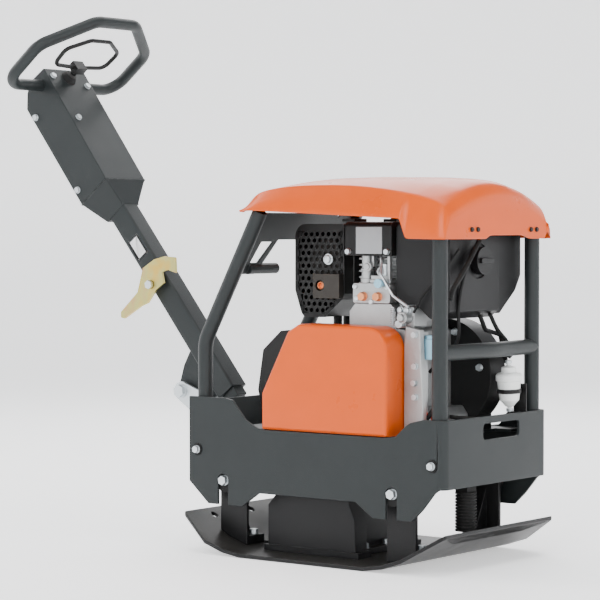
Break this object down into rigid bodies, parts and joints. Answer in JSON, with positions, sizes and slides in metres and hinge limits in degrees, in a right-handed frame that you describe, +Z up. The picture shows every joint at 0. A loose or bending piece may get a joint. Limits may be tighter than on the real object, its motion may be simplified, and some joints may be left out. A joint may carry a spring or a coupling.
{
  "type": "plate compactor",
  "caption": "Reversible vibratory plate compactor: curved base plate, sprung skirt frame, hooded diesel engine, belt drive and a fold-forward handle with control loop.",
  "frame": {"origin": "centre of the flat underside of the base plate, on the ground", "axes": "+X forward, away from the handle; +Y to the machine's left; +Z up"},
  "size_m": [1.1926, 0.45, 1.1041],
  "materials": {
    "orange_paint": "satin",
    "anthracite_paint": "satin",
    "black_cast": "painted",
    "black_plastic": "satin",
    "black_sheet": "satin",
    "die_cast": "as cast",
    "exhaust_steel": "heat stained",
    "machined_steel": "machined",
    "pulley_iron": "machined",
    "yellow_zinc": "yellow passivated",
    "pale_zinc": "zinc plated",
    "copper": "bare",
    "rubber": "matt",
    "filter_white": "translucent white",
    "plate_grey": "blank plate"
  },
  "bodies": {
    "base": {"base_plate": "black_cast", "exciter_housing": "black_cast", "exciter_bearing_caps": "black_cast", "lower_belt_cover": "black_plastic", "mount_brackets": "black_cast", "base_bolts": "pale_zinc"},
    "exciter_drive": {"exciter_drive_shaft": "machined_steel", "exciter_drive_gear": "machined_steel", "exciter_pulley": "pulley_iron"},
    "exciter_driven": {"exciter_driven_shaft": "machined_steel", "exciter_driven_gear": "machined_steel"},
    "frame": {"side_plate_right": "anthracite_paint", "side_plate_left": "anthracite_paint", "front_plate": "anthracite_paint", "rear_plate": "anthracite_paint", "engine_deck": "anthracite_paint", "hood": "orange_paint", "cross_tube": "anthracite_paint", "rear_posts": "anthracite_paint", "front_posts": "anthracite_paint", "rear_gusset": "anthracite_paint", "lifting_bar": "black_sheet", "handle_bracket": "pale_zinc", "fold_pin": "pale_zinc", "rubber_mounts": "rubber", "port_grommets": "rubber", "crankcase": "die_cast", "fan_housing": "black_sheet", "recoil_cover": "black_plastic", "cylinder": "die_cast", "engine_shroud": "black_sheet", "data_plate": "plate_grey", "valve_cover": "die_cast", "copper_plugs": "copper", "timing_cover": "die_cast", "injection_pump": "die_cast", "injection_line": "pale_zinc", "fuel_tank": "black_plastic", "air_cleaner": "black_plastic", "fuel_filter": "filter_white", "fuel_hose": "rubber", "muffler": "exhaust_steel", "muffler_guard": "black_sheet", "exhaust_outlet": "exhaust_steel", "belt_guard": "orange_paint", "belt_backplate": "black_sheet", "v_belt": "rubber", "drain_hose": "rubber", "frame_bolts": "pale_zinc"},
    "crank": {"crankshaft": "machined_steel", "clutch_pulley": "pulley_iron", "flywheel": "machined_steel"},
    "handle": {"handle_pole": "anthracite_paint", "handle_head": "anthracite_paint", "handle_fasteners": "pale_zinc", "ring_bar": "anthracite_paint", "control_boot": "rubber"},
    "latch": {"latch_hook": "yellow_zinc"},
    "control": {"control_loop": "black_sheet"},
    "cap": {"fuel_cap": "black_plastic"}
  },
  "joints": [
    {"name": "mount_travel", "type": "slide", "parent": "base", "child": "frame", "axis": [0, 0, 1], "range_m": [-0.004, 0.004], "stiffness_N_per_m": 400000, "springref_m": 0.00231, "deforming": ["rubber_mounts", "v_belt"]},
    {"name": "crank_spin", "type": "hinge", "parent": "frame", "child": "crank", "pos_m": [0.11, 0, 0.365], "axis": [0, 1, 0], "continuous": true},
    {"name": "exciter_drive_spin", "type": "hinge", "parent": "base", "child": "exciter_drive", "pos_m": [-0.025, 0, 0.07], "axis": [0, 1, 0], "continuous": true},
    {"name": "exciter_driven_spin", "type": "hinge", "parent": "base", "child": "exciter_driven", "pos_m": [-0.105, 0, 0.07], "axis": [0, 1, 0], "continuous": true},
    {"name": "handle_fold", "type": "hinge", "parent": "frame", "child": "handle", "pos_m": [-0.458, 0, 0.306], "axis": [0, 1, 0], "range_deg": [0, 38]},
    {"name": "latch_pivot", "type": "hinge", "parent": "handle", "child": "latch", "pos_m": [-0.53398, 0, 0.52941], "axis": [0, 1, 0], "range_deg": [-50, 0]},
    {"name": "control_tilt", "type": "hinge", "parent": "handle", "child": "control", "pos_m": [-0.804, 0, 0.98306], "axis": [0, 1, 0], "range_deg": [-12, 12]},
    {"name": "fuel_cap_turn", "type": "hinge", "parent": "frame", "child": "cap", "pos_m": [0.276, -0.006, 0.587], "axis": [1, 0, 0], "range_deg": [0, 90]}
  ],
  "couplings": [
    {"joint": "exciter_drive_spin", "follows": "crank_spin", "ratio": 1.3684},
    {"joint": "exciter_driven_spin", "follows": "crank_spin", "ratio": -1.3684}
  ]
}
